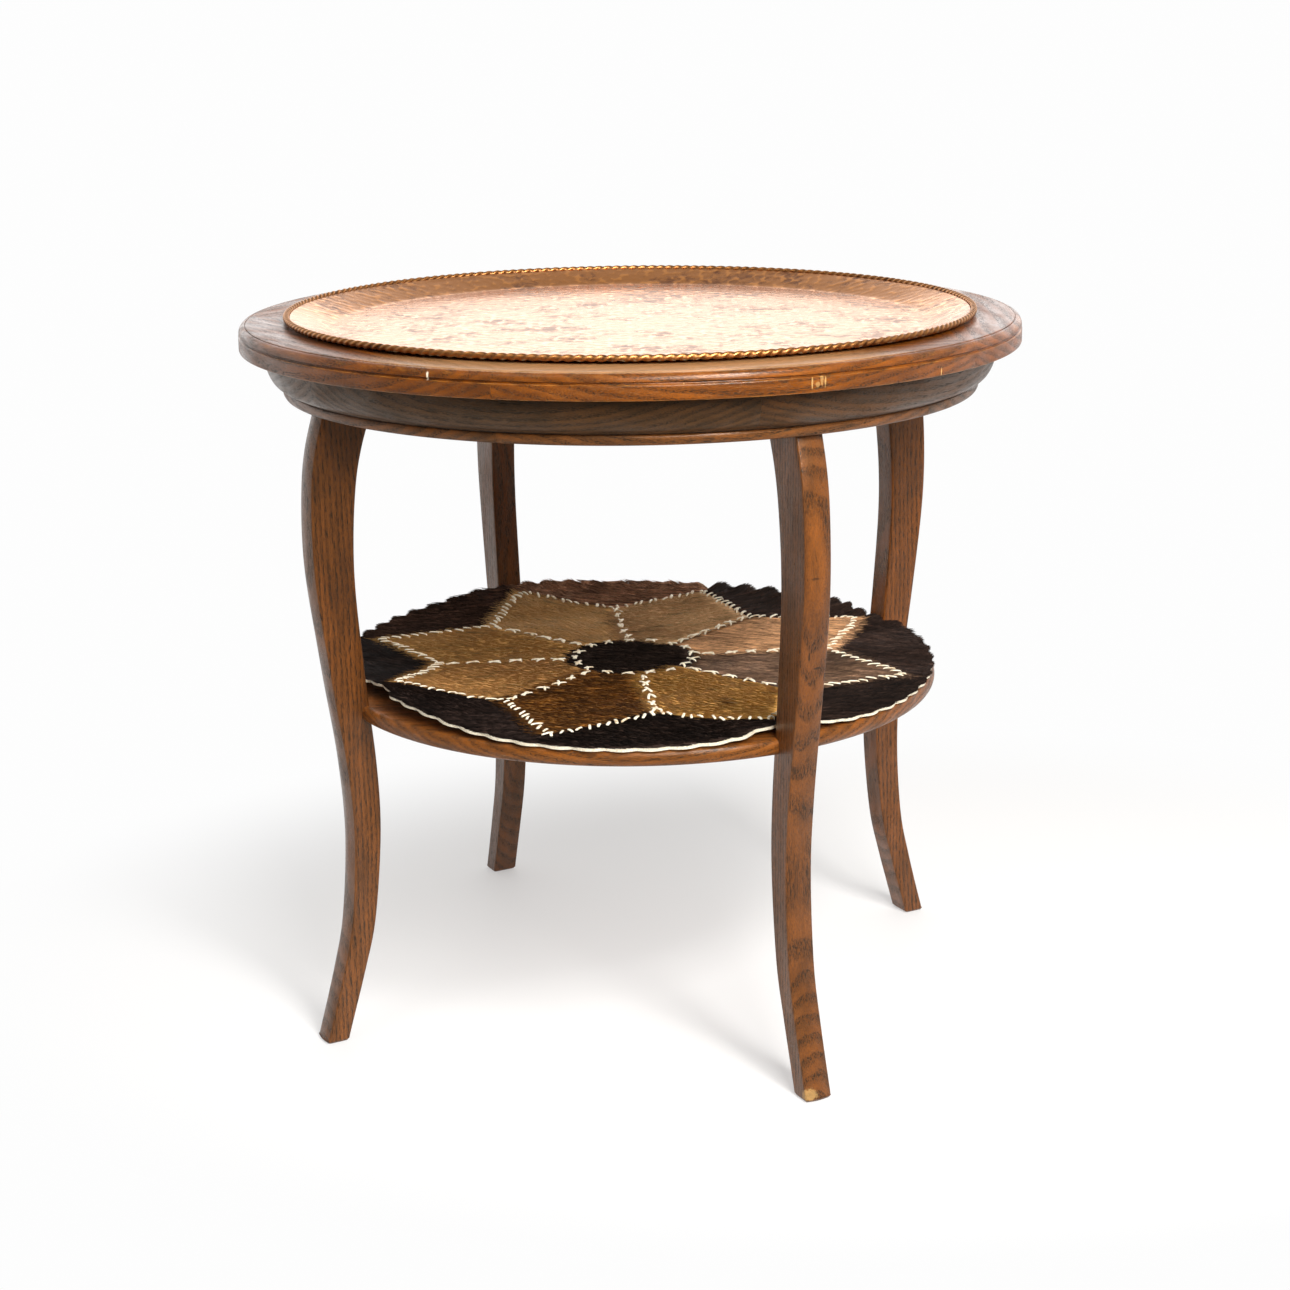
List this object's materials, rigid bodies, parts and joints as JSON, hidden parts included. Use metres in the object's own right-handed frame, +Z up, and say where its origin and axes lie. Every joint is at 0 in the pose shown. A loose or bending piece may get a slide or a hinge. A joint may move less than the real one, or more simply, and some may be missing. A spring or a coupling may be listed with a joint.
{
  "type": "round tray table",
  "caption": "Round oak table with curved legs, a moulded top ring holding a loose hammered copper tray, and a round shelf with a patchwork hide mat.",
  "frame": {"origin": "on the floor under the centre of the table", "axes": "+Z up; the front, where the picture is taken from, is -Y; +X is to the right"},
  "size_m": [0.668, 0.668, 0.6176],
  "materials": {
    "oak_top": "amber stained oak under varnish",
    "oak_apron": "darker stained oak under worn varnish",
    "oak_leg": "dark stained oak, satin",
    "oak_shelf": "stained oak, satin",
    "pine_board": "bare softwood",
    "copper": null,
    "steel_screw": "dull",
    "beech_dowel": "bare",
    "brown_hide": "hair-on hide, brown",
    "black_hide": "hair-on hide, near black"
  },
  "bodies": {
    "table": {"top_segment_1": "oak_top", "top_segment_2": "oak_top", "top_segment_3": "oak_top", "top_segment_4": "oak_top", "top_segment_5": "oak_top", "apron_segment_1": "oak_apron", "apron_segment_2": "oak_apron", "apron_segment_3": "oak_apron", "apron_segment_4": "oak_apron", "apron_segment_5": "oak_apron", "bead_segment_1": "oak_apron", "bead_segment_2": "oak_apron", "bead_segment_3": "oak_apron", "bead_segment_4": "oak_apron", "bead_segment_5": "oak_apron", "tray_board": "pine_board", "leg_1": "oak_leg", "leg_2": "oak_leg", "leg_3": "oak_leg", "leg_4": "oak_leg", "shelf_dowel_1": "beech_dowel", "shelf_dowel_2": "beech_dowel", "shelf_dowel_3": "beech_dowel", "shelf_dowel_4": "beech_dowel", "leg_screw_1_1": "steel_screw", "leg_screw_1_2": "steel_screw", "leg_screw_2_1": "steel_screw", "leg_screw_2_2": "steel_screw", "leg_screw_3_1": "steel_screw", "leg_screw_3_2": "steel_screw", "leg_screw_4_1": "steel_screw", "leg_screw_4_2": "steel_screw", "shelf_board_1": "oak_shelf", "shelf_board_2": "oak_shelf", "shelf_board_3": "oak_shelf", "shelf_board_4": "oak_shelf"},
    "tray": {"tray_dish": "copper", "tray_rope": "copper"},
    "mat": {"mat_eye": "black_hide", "mat_star_1": "brown_hide", "mat_star_2": "brown_hide", "mat_star_3": "brown_hide", "mat_star_4": "brown_hide", "mat_star_5": "brown_hide", "mat_star_6": "brown_hide", "mat_star_7": "brown_hide", "mat_star_8": "brown_hide", "mat_border_1": "black_hide", "mat_border_2": "black_hide", "mat_border_3": "black_hide", "mat_border_4": "black_hide", "mat_border_5": "black_hide", "mat_border_6": "black_hide", "mat_border_7": "black_hide", "mat_border_8": "black_hide"}
  },
  "joints": [
    {"name": "tray_lift", "type": "slide", "parent": "table", "child": "tray", "axis": [0, 0, 1], "range_m": [0, 0.15]},
    {"name": "mat_lift", "type": "slide", "parent": "table", "child": "mat", "axis": [0, 0, 1], "range_m": [0, 0.1]}
  ]
}
